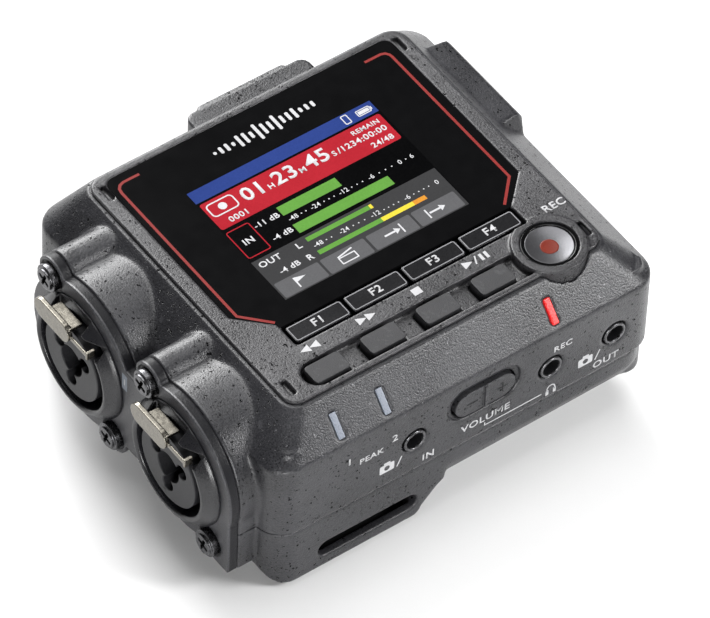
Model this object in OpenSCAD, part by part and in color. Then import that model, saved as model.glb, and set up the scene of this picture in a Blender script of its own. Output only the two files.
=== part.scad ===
// Portable field recorder with two combo input sockets.
// Features are laid out from the display's centre at deck level, and moved to the
// part's frame, whose origin is the middle of the underside, by from_display().

/* [Case] */
// Left wall, measured from the display centre
left_x = -42.4; // [-43.4:0.1:-42]
// Right wall, measured from the display centre
right_x = 43; // [42.6:0.1:44]
// Front wall, measured from the display centre
front_y = -43.3; // [-44:0.1:-42.8]
// Rear wall, measured from the display centre
rear_y = 32.5; // [32:0.1:34]
// Radius of the upright corners
corner_r = 5.5; // [4:0.5:6.5]
// Thickness of the case walls
wall = 1.8; // [1.5:0.1:2]
// Height of the crease where the walls turn into the slope, below the deck
crease_z = -8; // [-8.6:0.1:-7.6]
// Height of the seam between the upper and lower case
seam_z = -24.9; // [-26:0.1:-24.5]
// Height of the front part of the underside
belly_z = -34.6; // [-35:0.1:-34]
// Height of the lowest part of the underside
base_z = -38.5; // [-39.5:0.1:-38.4]
// How far the rubber feet stand out of the underside
foot_h = 1; // [0.6:0.1:1.5]

/* [Deck] */
// Half of the deck plate's width
deck_half_w = 34.5; // [34:0.1:35]
// Front edge of the deck plate
deck_front = -36; // [-36.4:0.1:-35.8]
// Rear edge of the deck plate
deck_rear = 27.5; // [27:0.1:28]
// Thickness of the deck plate's rim
rim_t = 0.8; // [0.6:0.1:1]

/* [Display] */
// Width of the lit area
screen_w = 40.64; // [38:0.1:42]
// Height of the lit area
screen_h = 30.48; // [28:0.1:32]
// Thickness of the cover lens
lens_t = 1.1; // [0.8:0.1:1.2]

/* [Keys] */
// Travel of the four function keys
f_travel = 0.4; // [0.2:0.05:0.5]
// Travel of the transport keys and the record button
key_travel = 0.9; // [0.5:0.05:1]
// Width of one transport key
key_w = 7.5; // [7:0.1:7.8]
// Distance between transport keys
key_pitch = 12.1; // [11.8:0.05:12.3]
// Radius of the record button
rec_r = 4.5; // [4.2:0.05:4.55]

/* [Input sockets] */
// Distance between the two sockets
socket_pitch = 30; // [29.5:0.1:31]
// Height of the socket axes below the deck
socket_z = -17.7; // [-18:0.1:-17.5]
// Radius of the lobes round each socket
lobe_r = 15.6; // [15.2:0.1:15.8]
// Radius of the quarter-inch bore
plug_r = 3.2; // [3.18:0.01:3.25]
// Push-in travel of the latches
latch_travel = 0.7; // [0.4:0.1:0.7]

/* [Small sockets] */
// Radius of the 3.5 mm bores
mini_r = 1.8; // [1.76:0.01:1.85]
// Depth of the 3.5 mm bores
mini_depth = 14; // [12:0.5:15]

/* [Power] */
// Diameter of one AA cell
cell_d = 14.2; // [13.8:0.1:14.4]
// Length of one AA cell's can
cell_l = 49.5; // [49:0.1:50]

/* [Hidden] */

eps = 0.01;
gap = 0.05;
deck_cx = 0.5;
deck_l = deck_cx - deck_half_w;
deck_r = deck_cx + deck_half_w;
deck_corner = 3;
ledge = 0.7;
plug_inset = 1.25;
shell_drop = 2.4;
plug_bottom = -2.6;

bump_x = 43.7;
usb_z = -16.9;
block_y = 36.6;
rocker_proud = 0.3;
tab_x = -53;
origin_pos = [-(tab_x + bump_x) / 2, -(front_y - rocker_proud + block_y) / 2, foot_h - base_z];

f_y0 = -25;
f_y1 = -20;
f_x0 = -25;
f_x1 = 26;
f_gap = 0.6;
f_w = (f_x1 - f_x0 - 5 * f_gap) / 4;

key_x0 = -23.45;
key_y = -32.15;
key_h = 4.3;
trough_r = 3;
trough_floor = -1.6;
key_gap = 0.35;

rec_pos = [26, -31.3];
boss_r = 7;
ring_r = 5.35;

board_z = -13.9;
keypcb_z = -6.6;
switch_h = 0.7;
pcb_t = 1.2;

socket_y = [7, 7 - socket_pitch];
plate_x = -48.5;
plate_t = 2.2;
ear_r = 4;
ear_dy = 9.8;
ear_dz = 12.2;
hole_r = 12;
rim_x = -51.2;
groove_r = 9.8;
insert_r = 8.2;
screw_head_r = 2.75;
neck_x = rim_x + 1.6;
pocket_x = neck_x + latch_travel + 2 * gap;

mini_z = -17.1;
mini_x = [-11.7, 18.5, 32.8];
rocker_x = 3.85;
rocker_z = -15.15;
rocker_len = 13.3;
rocker_h = 5.7;

bay_x0 = -16.6;
bay_x1 = 39.2;
bay_y0 = -31;
bay_y1 = 29.6;
cell_pitch = 14.7;
cell_x0 = -12.2;
cell_y = [for (i = [0:3]) -22.75 + i * cell_pitch];
cell_z = -28.6;
bay_roof = -20.9;
door_t = 1.6;
door_x0 = -14.5;
door_x1 = 37;

slot_x0 = -32.2;
slot_x1 = -10.5;
slot_z = -34;
slot_h = 3.6;

bush_pos = [-26, -4];
bush_r = 4.6;
bush_bore = 3.175;
screw_pos = [[-36.4, 27.6], [-21, 27.6], [38.6, -38.8], [-36.6, -39]];
screw_seat = -31.4;
post_r = 2.4;
case_foot_pos = [[-34, -32.5], [-34, 23]];
door_foot_pos = [[32.5, -25], [32.5, 23]];
card_pin = [43.1, 17];
led_x = [-27.3, -17.3, 19.7];
key_low = keypcb_z + pcb_t + switch_h + key_travel + gap;
board_holes = [[-15, 22], [35, 22.5], [-15, -35], [31, -28]];

function arc(c, r, a0, a1, n = 8) =
    [for (i = [0:n]) [c[0] + r * cos(a0 + (a1 - a0) * i / n), c[1] + r * sin(a0 + (a1 - a0) * i / n)]];

module from_display() translate(origin_pos) children();

// Rectangle with round corners, exact at any size
module round_rect(x0, x1, y0, y1, r) {
    translate([x0 + r, y0]) square([x1 - x0 - 2 * r, y1 - y0]);
    translate([x0, y0 + r]) square([x1 - x0, y1 - y0 - 2 * r]);
    for (x = [x0 + r, x1 - r], y = [y0 + r, y1 - r]) translate([x, y]) circle(r, $fn = 32);
}

module slab(x0, x1, y0, y1, r, z0, z1) {
    translate([0, 0, z0]) linear_extrude(z1 - z0) round_rect(x0, x1, y0, y1, r);
}

module block(x0, x1, y0, y1, z0, z1) {
    translate([x0, y0, z0]) cube([x1 - x0, y1 - y0, z1 - z0]);
}

// Rod along X from x0 to x1
module rod_x(x0, x1, y, z, r, fn = 48) {
    translate([x0, y, z]) rotate([0, 90, 0]) cylinder(r = r, h = x1 - x0, $fn = fn);
}

// Rod along Y from y0 to y1
module rod_y(y0, y1, x, z, r, fn = 48) {
    translate([x, y0, z]) rotate([-90, 0, 0]) cylinder(r = r, h = y1 - y0, $fn = fn);
}

module rod_z(x, y, z0, z1, r) {
    translate([x, y, z0]) cylinder(r = r, h = z1 - z0, $fn = 32);
}

// Stadium prism along Y: length along X, height along Z
module stadium_y(y0, y1, x, z, len, h) {
    r = h / 2;
    for (s = [-1, 1]) rod_y(y0, y1, x + s * (len / 2 - r), z, r, 32);
    block(x - len / 2 + r, x + len / 2 - r, y0, y1, z - r, z + r);
}

// Stadium prism along X: length along Y, height along Z
module slab_x(x0, x1, y, z, len, h) {
    r = h / 2;
    for (s = [-1, 1]) rod_x(x0, x1, y + s * (len / 2 - r), z, r, 32);
    block(x0, x1, y - len / 2 + r, y + len / 2 - r, z - r, z + r);
}

// ---- Case ----

module footprint(inset, z0, z1, x_end) {
    slab(left_x + inset, x_end - inset, front_y + inset, rear_y - inset, corner_r - inset, z0, z1);
}

// Outside of the walls above the seam and the slope up to the deck
module upper_form() {
    footprint(0, seam_z, crease_z, right_x);
    hull() {
        footprint(0, crease_z - eps, crease_z, right_x);
        slab(deck_l - ledge, deck_r + ledge, deck_front - ledge, deck_rear + ledge,
            deck_corner + ledge, -rim_t - eps, -rim_t);
    }
}

// Outline of the socket plate and of the boss behind it, seen from the left
module socket_outline(grow = 0) {
    for (y = socket_y) {
        translate([-y, socket_z]) circle(lobe_r + grow, $fn = 96);
        for (s = [-1, 1])
            translate([-(y + s * ear_dy), socket_z + s * ear_dz]) circle(ear_r + grow, $fn = 48);
    }
    // Flat stretch between the two circles, and the square lower front corner
    translate([-socket_y[0], socket_z - 12]) square([socket_pitch, 20]);
    translate([-socket_y[1] + ear_dy - 2, socket_z - ear_dz - ear_r - grow])
        square([lobe_r - ear_dy + 1.6 + grow, 12]);
}

// The outline as a solid along X
module socket_solid(x0, x1, grow = 0) {
    translate([x0, 0, 0]) rotate([90, 0, -90]) mirror([0, 0, 1])
        linear_extrude(x1 - x0) socket_outline(grow);
}

// Outside of the case below the seam
module lower_form() {
    ramp_x = -4.5;
    edge_r = 5.5;
    low_r = 4;
    side_x = right_x - 1.5;
    hump = concat([[ramp_x - eps, seam_z], [left_x, seam_z]],
        arc([left_x + low_r, base_z + low_r], low_r, 180, 270),
        [[-11.5, base_z]], arc([-11.5, base_z + 2], 2, 270, 310, 4),
        arc([ramp_x + 0.4, belly_z - 0.2], 2, 130, 90, 4));
    intersection() {
        footprint(0, base_z, seam_z, right_x);
        translate([0, rear_y, 0]) rotate([90, 0, 0]) linear_extrude(rear_y - front_y) polygon(hump);
    }
    // Belly: square at the seam, rounded along its lower front and right edges
    intersection() {
        block(left_x, right_x, front_y, rear_y, base_z, seam_z);
        hull() {
            intersection() {
                slab(left_x, side_x, front_y, rear_y, corner_r, seam_z - 3.8, seam_z);
                block(ramp_x - 2, side_x + 1, front_y - 1, rear_y + 1, seam_z - 5, seam_z + 1);
            }
            for (y = [front_y + edge_r + 0.8, rear_y - edge_r])
                translate([side_x - edge_r, y, belly_z + edge_r]) sphere(edge_r, $fn = 32);
            rod_x(ramp_x - 2, ramp_x, front_y + edge_r + 0.4, belly_z + edge_r, edge_r, 32);
            rod_x(ramp_x - 2, ramp_x, rear_y - edge_r, belly_z + edge_r, edge_r, 32);
        }
    }
    // Battery bay under the belly
    hull() {
        slab(ramp_x - 8, side_x - 0.6, bay_y0 - 2, rear_y - 1, 4, -33, -32);
        slab(ramp_x - 8, side_x - 1.6, bay_y0 - 1, rear_y - 2, 3, base_z, base_z + 0.6);
    }
}

// Space inside the walls
module cavity(z0, z1) {
    intersection() {
        footprint(wall, z0, z1, right_x);
        translate([0, 0, -shell_drop]) upper_form();
    }
}

// Bulge on the right side that holds the card and data sockets, sloped at both ends
module right_bulge() {
    side = right_x - 0.3;
    low = seam_z + 1.5;
    hull() {
        translate([0, 22, 0]) rotate([90, 0, 0]) linear_extrude(22)
            polygon([[side, low + 0.8], [bump_x, low + 1.4], [bump_x, -5], [bump_x - 1, -3.6], [36.4, -2.8], [36.4, -8]]);
        block(side - 4, side, -2.4, 23.6, low, -8.6);
        block(36.4, 37.4, -0.9, 22.6, -8, -3.4);
    }
}

// Two-tier block on the rear wall that holds the adapter connector
module rear_block() {
    slab(-7, 20, rear_y - 3, block_y - 1.6, 2, -20, -5.5);
    slab(-4, 17, rear_y - 3, block_y, 2, -19, -6.5);
}

// Frame of one lamp: middle of its window, with Z square to the front slope
module led_place(x) {
    slope = atan2(-rim_t - crease_z, deck_front - ledge - front_y);
    translate([x, -40.6, crease_z + (-40.6 - front_y) * tan(slope)]) rotate([slope, 0, 0]) children();
}

module upper_case() from_display() color([0.27, 0.27, 0.29]) difference() {
    union() {
        difference() {
            union() {
                upper_form();
                intersection() {
                    socket_solid(plate_x + plate_t, -33);
                    block(-60, 0, -60, 60, seam_z, 0);
                }
                right_bulge();
                rear_block();
            }
            cavity(seam_z - 1, -1);
            // Room inside the bulge and the rear block
            block(36, bump_x - wall, 1.8, 20.2, seam_z, -7);
            block(-4.5, 17.5, 24, block_y - 3.4, -17.5, -8);
        }
        // Columns for the case screws, up into the slope
        for (p = screw_pos)
            translate([p[0], p[1], seam_z]) cylinder(r = post_r, h = -5.6 - seam_z, $fn = 32);
    }
    slab(deck_l + plug_inset - gap, deck_r - plug_inset + gap, deck_front + plug_inset - gap,
        deck_rear - plug_inset + gap, deck_corner - plug_inset + gap, -5, 1);
    translate([rec_pos[0], rec_pos[1], -6]) cylinder(r = boss_r + gap, h = 8, $fn = 64);
    for (y = socket_y) rod_x(plate_x, -36, y, socket_z, hole_r + gap, 96);
    for (y = socket_y, s = [-1, 1]) rod_x(plate_x, -40.4, y + s * ear_dy, socket_z + s * ear_dz, 1.3, 24);
    for (x = mini_x) {
        rod_y(front_y - 1, front_y + 6, x, mini_z, 2.45, 48);
        translate([x, front_y - eps, mini_z]) rotate([-90, 0, 0]) cylinder(r1 = 3.05, r2 = 2.45, h = 0.7, $fn = 48);
    }
    // Bevelled recess and window of the volume rocker
    stadium_y(front_y - 1, front_y + 0.9, rocker_x - 0.35, -14.3, 16.2, 8);
    stadium_y(front_y - 1, front_y + 5, rocker_x, rocker_z, rocker_len + 0.6, rocker_h + 0.5);
    for (x = led_x) led_place(x) translate([-0.65 - gap, -2.5 - gap, -4]) cube([1.3 + 2 * gap, 5 + 2 * gap, 6]);
    // Card window with its hinge seat, data socket and power switch slot
    block(bump_x - 1.3, bump_x + 1, 2, 18.4, -14.6, -8.4);
    block(bump_x - 4, bump_x + 1, 4.2, 16.2, -13, -10);
    slab_x(bump_x - 4, bump_x + 1, 10.2, usb_z, 9.2, 3.4);
    slab_x(right_x - 4, right_x + 1, -20, -14.5, 9, 2.6);
    // Adapter connector window
    block(-1.6, 14.6, block_y - 1.5, block_y + 1, -15.6, -9.4);
    block(1.4, 11.6, block_y - 4, block_y + 1, -14.2, -10.8);
    for (p = screw_pos) translate([p[0], p[1], seam_z - 1]) cylinder(r = 1, h = 11, $fn = 24);
}

module lower_case() from_display() color([0.25, 0.25, 0.27]) difference() {
    union() {
        difference() {
            union() {
                lower_form();
                intersection() {
                    socket_solid(plate_x + plate_t, -33);
                    block(-60, 0, -60, 60, -45, seam_z);
                }
            }
            // Room for the sockets and boards above the belly floor
            slab(left_x + wall, bay_x0 - 1.6, front_y + 8.6, rear_y - wall, 2, base_z + 5.2, seam_z + 1);
            slab(bay_x0 - 3, right_x - 1.5 - wall, front_y + wall, rear_y - wall, 3, -28.9, seam_z + 1);
            slab(left_x + wall, bay_x0 - 1, front_y + wall, front_y + 10, 2, -30, seam_z + 1);
        }
        // Walls and roof of the battery bay
        difference() {
            slab(bay_x0 - 1.4, bay_x1 + 0.5, bay_y0 - 1.4, bay_y1 + 1.1, 2.2, -34, bay_roof + 0.9);
            block(bay_x0, bay_x1, bay_y0, bay_y1, -40, bay_roof);
        }
        for (p = screw_pos) translate([p[0], p[1], screw_seat - 1.5])
            cylinder(r = 3.2, h = seam_z - screw_seat + 1.5, $fn = 32);
    }
    block(bay_x0, bay_x1, bay_y0, bay_y1, base_z + 2.6, bay_roof);
    // Opening for the door and the seats for its rails
    block(door_x0 - gap * 2, door_x1 + gap * 2, bay_y0 + 1, rear_y + 1, base_z - 1, base_z + 3 + eps);
    block(door_x0 - 1.2, door_x1 + 1.2, bay_y0 + 1, rear_y + 1, base_z + door_t, base_z + 3 + eps);
    // Strap slot: a round-ended mouth in the front face, open below behind the bar
    stadium_y(front_y - 1, front_y + 4, (slot_x0 + slot_x1) / 2, slot_z, slot_x1 - slot_x0, slot_h);
    block(slot_x0 + 0.4, slot_x1 - 0.4, front_y + 1.7, front_y + 7, base_z - 1, slot_z + slot_h / 2);
    for (y = socket_y) rod_x(plate_x, -33, y, socket_z, hole_r + gap, 96);
    for (y = socket_y, s = [-1, 1]) rod_x(plate_x, -40.4, y + s * ear_dy, socket_z + s * ear_dz, 1.3, 24);
    translate([bush_pos[0], bush_pos[1], base_z - 1]) cylinder(r = bush_r, h = 6.5, $fn = 64);
    for (p = screw_pos) translate([p[0], p[1], -50]) {
        cylinder(r = 1.2, h = 30, $fn = 24);
        cylinder(r = 2.3, h = 50 + screw_seat, $fn = 32);
    }
    for (p = case_foot_pos) translate([p[0], p[1], base_z - 1]) cylinder(r = 3.6, h = 1.6, $fn = 32);
}

module battery_door() from_display() color([0.22, 0.22, 0.24]) difference() {
    union() {
        block(door_x0, door_x1, bay_y0 + 1.1, rear_y - 2, base_z, base_z + door_t);
        block(door_x0 - 1, door_x1 + 1, bay_y0 + 1.1, rear_y - 2, base_z + door_t + 0.1, base_z + door_t + 0.9);
        block(door_x0 + 0.4, door_x1 - 0.4, bay_y0 + 1.1, rear_y - 2, base_z + 1, base_z + door_t + 0.9);
    }
    for (i = [0:4]) rod_x(3.2, 19.2, 20 + i * 1.8, base_z, 0.45, 16);
    for (p = door_foot_pos) translate([p[0], p[1], base_z - 1]) cylinder(r = 3.6, h = 1.6, $fn = 32);
}

// ---- Covers ----

module adapter_cover() from_display() color([0.16, 0.16, 0.17]) {
    block(-1.5, 14.5, block_y - 1.4, block_y, -15.5, -9.5);
    block(1.6, 11.4, block_y - 3, block_y - 1.4, -14, -11);
}

module card_cover() from_display() color([0.16, 0.16, 0.17]) difference() {
    union() {
        block(bump_x - 1.1, bump_x, 2.1, 15.6, -14.5, -8.5);
        block(bump_x - 1.1, bump_x, 15.5, 16.6, -12.9, -10.1);
        rod_z(card_pin[0], card_pin[1], -12.9, -10.1, 0.6);
        block(bump_x - 2.2, bump_x - 1, 4.4, 13.6, -12.8, -10.2);
    }
    rod_z(card_pin[0], card_pin[1], -20, 0, 0.34);
}

module card_cover_pin() from_display() color([0.7, 0.7, 0.72])
    rod_z(card_pin[0], card_pin[1], -14.6, -8.4, 0.3);

// ---- Input sockets ----

module jack_plate() from_display() color([0.36, 0.37, 0.39]) difference() {
    socket_solid(plate_x, plate_x + plate_t, -0.1);
    for (y = socket_y) rod_x(plate_x - 1, plate_x + 3, y, socket_z, hole_r + gap, 96);
    for (y = socket_y, s = [-1, 1]) {
        rod_x(plate_x - 1, plate_x + 3, y + s * ear_dy, socket_z + s * ear_dz, 1.6, 24);
        rod_x(plate_x - 1, plate_x + 0.5, y + s * ear_dy, socket_z + s * ear_dz, screw_head_r + 0.45, 32);
    }
}

// Collar and housing of one socket: a turned shape round the X axis
module combo_jack(i) {
    lip = 0.9;
    profile = [[groove_r, 39.2], [groove_r, -rim_x - 0.4], [groove_r + 0.4, -rim_x], [groove_r + lip, -rim_x],
        [groove_r + 1.3, -rim_x - 0.5], [12.3, -plate_x + 1], [12.7, -plate_x + 0.35], [12.7, -plate_x],
        [hole_r, -plate_x], [hole_r, 27], [hole_r - 1.5, 27], [hole_r - 1.5, 19.5], [0, 19.5], [0, 20.5],
        [plug_r, 20.5], [plug_r, 39.2]];
    difference() {
        translate([0, socket_y[i], socket_z]) rotate([0, -90, 0]) rotate_extrude($fn = 96) polygon(profile);
        block(rim_x - 1, pocket_x, socket_y[i] - 3.2, socket_y[i] + 6.6, socket_z + 7.6, socket_z + 12.4);
        block(rim_x - 1, pocket_x, socket_y[i] - 8, socket_y[i] - 3.2, socket_z + 7, socket_z + 9.7);
    }
}

module combo_jack_1() from_display() color([0.2, 0.2, 0.21]) combo_jack(0);
module combo_jack_2() from_display() color([0.2, 0.2, 0.21]) combo_jack(1);

// Core of one socket: quarter-inch bore with three pin holes round it
module combo_insert(i) {
    pin_ring = 4.5;
    difference() {
        rod_x(rim_x + 0.3, -39.2, socket_y[i], socket_z, insert_r, 64);
        rod_x(rim_x - 1, -39, socket_y[i], socket_z, plug_r, 48);
        for (a = [30, 150, 270])
            rod_x(rim_x - 1, -41, socket_y[i] + pin_ring * cos(a), socket_z + pin_ring * sin(a), 1.5, 24);
    }
}

module combo_insert_1() from_display() color([0.3, 0.3, 0.31]) combo_insert(0);
module combo_insert_2() from_display() color([0.3, 0.3, 0.31]) combo_insert(1);

// Push latch: a plate with round ends, a neck that goes back into the collar and a hook
module latch(i) {
    y = socket_y[i];
    z = socket_z;
    hull() for (d = [0.2, 6.6])
        rod_x(tab_x, tab_x + 1, y + d, z + 9.2, 2.2, 32);
    block(tab_x + 0.5, neck_x, y - 1.6, y + 5, z + 10.1, z + 10.8);
    block(tab_x + 0.6, tab_x + 1, y - 6.6, y - 1.6, z + 8.2, z + 9.2);
    block(tab_x + 0.6, rim_x + 0.6, y - 7, y - 6.4, z + 7.6, z + 9.4);
}

module latch_1() from_display() color([0.75, 0.73, 0.68]) latch(0);
module latch_2() from_display() color([0.75, 0.73, 0.68]) latch(1);

// Pan head with a cross recess, its shank along +X
module jack_screw(y, z) {
    difference() {
        union() {
            rod_x(plate_x - 1.2, plate_x + 0.5, y, z, screw_head_r, 32);
            rod_x(plate_x - 1.7, plate_x - 1.2, y, z, 2.1, 32);
            rod_x(plate_x + 0.5, -40.8, y, z, 1.25, 24);
        }
        for (a = [20, 110])
            translate([plate_x - 1.8, y, z]) rotate([a, 0, 0]) translate([0, -1.5, -0.35]) cube([1.3, 3, 0.7]);
    }
}

module jack_screws() from_display() color([0.55, 0.55, 0.57])
    for (y = socket_y, s = [-1, 1]) jack_screw(y + s * ear_dy, socket_z + s * ear_dz);

module case_screws() from_display() color([0.3, 0.3, 0.32])
    for (p = screw_pos) translate([p[0], p[1], screw_seat]) difference() {
        union() {
            translate([0, 0, -1.4]) cylinder(r = 2.2, h = 1.4, $fn = 32);
            cylinder(r = 0.95, h = 13, $fn = 24);
        }
        for (a = [0, 90]) rotate([0, 0, a]) translate([-1.2, -0.3, -2]) cube([2.4, 0.6, 1.4]);
    }

// ---- Deck ----

module lens_outline(grow = 0) {
    polygon(concat(arc([-29, 24], 2 + grow, 90, 180), [[-31 - grow, -13], [-25 - grow, -19],
        [-25 - grow, f_y1 + gap - grow], [26 + grow, f_y1 + gap - grow], [26 + grow, -19.8],
        [32 + grow, -14]], arc([30, 24], 2 + grow, 0, 90)));
}

module trough() {
    hull() {
        translate([-28.5 + trough_r, -32, 0]) cylinder(r = trough_r, h = 3, $fn = 32);
        translate([rec_pos[0] - 3, -32, 0]) cylinder(r = trough_r, h = 3, $fn = 32);
    }
}

module deck_plate() from_display() color([0.33, 0.33, 0.35]) difference() {
    union() {
        difference() {
            union() {
                slab(deck_l, deck_r, deck_front, deck_rear, deck_corner, -rim_t, 0);
                slab(deck_l + plug_inset, deck_r - plug_inset, deck_front + plug_inset, deck_rear - plug_inset,
                    deck_corner - plug_inset, plug_bottom, -rim_t + eps);
            }
            translate([0, 0, trough_floor]) trough();
        }
        translate([rec_pos[0], rec_pos[1], -4.4]) cylinder(r = boss_r, h = 4.9, $fn = 64);
    }
    translate([0, 0, -lens_t - gap]) linear_extrude(3) lens_outline(gap);
    block(-screen_w / 2 - 1, screen_w / 2 + 1, -screen_h / 2 - 1, screen_h / 2 + 1, -5, 1);
    slab(f_x0, f_x1, f_y0, f_y1 + 0.1, 0.8, -5, 1);
    block(f_x0 + 0.4, f_x1 - 0.4, f_y0 - 1.2, f_y1 + 1, -5, plug_bottom - gap);
    for (i = [0:3]) translate([key_x0 + i * key_pitch, key_y, 0])
        slab(-key_w / 2 - key_gap, key_w / 2 + key_gap, -key_h / 2 - key_gap, key_h / 2 + key_gap, 0.9, -5, 1);
    translate([rec_pos[0], rec_pos[1], -2.3]) cylinder(r = ring_r + gap, h = 5, $fn = 48);
    translate([rec_pos[0], rec_pos[1], -5]) cylinder(r = rec_r + 0.8, h = 5, $fn = 48);
    // Lanyard slots in the corners
    for (p = [[-31.8, 23.5], [33, 23.5], [-31.8, -32], [33.5, -31.5]])
        slab(p[0] - 0.6, p[0] + 0.6, p[1] - 1.9, p[1] + 1.9, 0.5, -1.2, 1);
}

module screen_lens() from_display() color([0.03, 0.03, 0.035])
    translate([0, 0, -lens_t]) linear_extrude(lens_t - 0.05) lens_outline();

module lcd_module() from_display() color([0.1, 0.1, 0.12]) block(-24, 24, -19.2, 19.8, -5, plug_bottom);

module f_key(i) {
    x = f_x0 + f_gap + i * (f_w + f_gap);
    r = 0.6;
    slab(x, x + f_w, f_y0 + 0.6, f_y1 - 0.5, r, plug_bottom - 0.1, -0.15);
    block(x + 1, x + f_w - 1, f_y0 - 0.8, f_y1 + 0.6, -3.2, plug_bottom - 0.1);
    block(x + f_w / 2 - 1.5, x + f_w / 2 + 1.5, -23.3, -21.3, keypcb_z + pcb_t + switch_h + f_travel + gap, -3.2);
}

module f_key_1() from_display() color([0.06, 0.06, 0.065]) f_key(0);
module f_key_2() from_display() color([0.06, 0.06, 0.065]) f_key(1);
module f_key_3() from_display() color([0.06, 0.06, 0.065]) f_key(2);
module f_key_4() from_display() color([0.06, 0.06, 0.065]) f_key(3);

module transport_key(i) {
    translate([key_x0 + i * key_pitch, key_y, 0]) {
        slab(-key_w / 2, key_w / 2, -key_h / 2, key_h / 2, 0.7, plug_bottom - 0.1, 0.1);
        slab(-key_w / 2 - 0.8, key_w / 2 + 0.8, -key_h / 2 - 0.4, key_h / 2 + 0.4, 0.7, -3.2, plug_bottom - 0.1);
        block(-1.2, 1.2, -1, 1, key_low, -3.2);
    }
}

module rewind_key() from_display() color([0.24, 0.24, 0.25]) transport_key(0);
module forward_key() from_display() color([0.24, 0.24, 0.25]) transport_key(1);
module stop_key() from_display() color([0.24, 0.24, 0.25]) transport_key(2);
module play_key() from_display() color([0.24, 0.24, 0.25]) transport_key(3);

module record_ring() from_display() color([0.04, 0.04, 0.045])
    translate([rec_pos[0], rec_pos[1], -2.3]) difference() {
        cylinder(r = ring_r, h = 2.5, $fn = 64);
        translate([0, 0, -1]) cylinder(r = rec_r + 0.1, h = 5, $fn = 64);
    }

module record_button() from_display() color([0.5, 0.5, 0.52])
    translate([rec_pos[0], rec_pos[1], 0]) difference() {
        union() {
            translate([0, 0, -2.8]) cylinder(r = rec_r, h = 2.9, $fn = 64);
            translate([0, 0, -3.2]) cylinder(r = rec_r + 0.7, h = 0.5, $fn = 48);
            translate([0, 0, key_low]) cylinder(r = 1.2, h = 1, $fn = 24);
        }
        translate([0, 0, 15.5]) sphere(r = 16, $fn = 96);
    }

// ---- Lamps ----

module led(i) {
    led_place(led_x[i]) translate([-0.65, -2.5, -2.2]) cube([1.3, 5, 2.35]);
}

module peak_led_1() from_display() color([0.66, 0.7, 0.74]) led(0);
module peak_led_2() from_display() color([0.66, 0.7, 0.74]) led(1);
module record_led() from_display() color([0.95, 0.12, 0.1]) led(2);

// ---- Front controls ----

module volume_rocker() from_display() color([0.3, 0.3, 0.32]) {
    stadium_y(front_y + 0.15, -40.8, rocker_x, rocker_z, rocker_len, rocker_h);
    stadium_y(-40.9, -40.3, rocker_x, rocker_z, rocker_len + 1.6, rocker_h + 1.4);
    // Upright pivot that stands out above and below the flange
    rod_z(rocker_x, -40.6, rocker_z - rocker_h / 2 - 1.4, rocker_z + rocker_h / 2 + 1.4, 0.5);
    // Centre ridge that a fingertip finds
    block(rocker_x - 0.35, rocker_x + 0.35, front_y - rocker_proud, front_y + 0.6, rocker_z - 2.7, rocker_z + 2.7);
}

module volume_switches() from_display() color([0.6, 0.6, 0.6])
    for (x = [rocker_x - 4.5, rocker_x + 2.5]) block(x, x + 2, -39.7, -38.2, -16.5, board_z);

module mini_jack(i) {
    x = mini_x[i];
    difference() {
        union() {
            rod_y(front_y + 0.25, front_y + 3, x, mini_z, 2.4, 48);
            block(x - 3.2, x + 3.2, front_y + 2, front_y + mini_depth, mini_z - 2.8, board_z);
        }
        rod_y(front_y, front_y + mini_depth - 1, x, mini_z, mini_r, 48);
    }
}

module ext_in_jack() from_display() color([0.45, 0.45, 0.47]) mini_jack(0);
module headphone_jack() from_display() color([0.45, 0.45, 0.47]) mini_jack(1);
module line_out_jack() from_display() color([0.45, 0.45, 0.47]) mini_jack(2);

// ---- Inside ----

module main_board() from_display() color([0.08, 0.32, 0.18]) difference() {
    slab(-18.5, 39.6, front_y + 3.6, rear_y - 3, 1, board_z, board_z + pcb_t);
    for (p = board_holes) rod_z(p[0], p[1], -20, 0, 1.1);
    for (p = screw_pos) rod_z(p[0], p[1], -20, 0, post_r + 0.6);
}

module key_board() from_display() color([0.08, 0.32, 0.18]) difference() {
    slab(-26.5, 32.5, -36.6, -10, 1, keypcb_z, keypcb_z + pcb_t);
    for (p = board_holes) rod_z(p[0], p[1], -20, 0, 1.1);
}

module key_switches() from_display() color([0.75, 0.75, 0.77]) {
    z = keypcb_z + pcb_t;
    for (i = [0:3]) {
        translate([f_x0 + f_gap + f_w / 2 + i * (f_w + f_gap), -22.3, z]) cylinder(r = 1.7, h = switch_h, $fn = 24);
        translate([key_x0 + i * key_pitch, key_y, z]) cylinder(r = 1.7, h = switch_h, $fn = 24);
    }
    translate([rec_pos[0], rec_pos[1], z]) cylinder(r = 1.7, h = switch_h, $fn = 24);
}

// Spacers between the main board and the key board
module board_posts() from_display() color([0.7, 0.68, 0.5])
    for (p = [board_holes[2], board_holes[3]])
        translate([p[0], p[1], board_z + pcb_t]) cylinder(r = 2, h = keypcb_z - board_z - pcb_t, $fn = 24);

module power_switch() from_display() color([0.12, 0.12, 0.13]) difference() {
    union() {
        slab_x(right_x - wall - 0.2, right_x + 0.5, -20, -14.5, 4.4, 2.4);
        block(right_x - wall - 0.85, right_x - wall - 0.1, -25, -15, -16.4, -12.6);
    }
    for (i = [-2:2]) translate([right_x + 0.5, -20 + i * 0.75, -14.5]) cylinder(r = 0.2, h = 4, center = true, $fn = 16);
}

module usb_port() from_display() color([0.65, 0.66, 0.68]) difference() {
    union() {
        slab_x(bump_x - 9, bump_x - 0.9, 10.2, usb_z, 9, 3.2);
        block(bump_x - 9, bump_x - 4.5, 7, 13.4, usb_z, board_z);
    }
    slab_x(bump_x - 7.5, bump_x, 10.2, usb_z, 8.4, 2.6);
}

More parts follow.
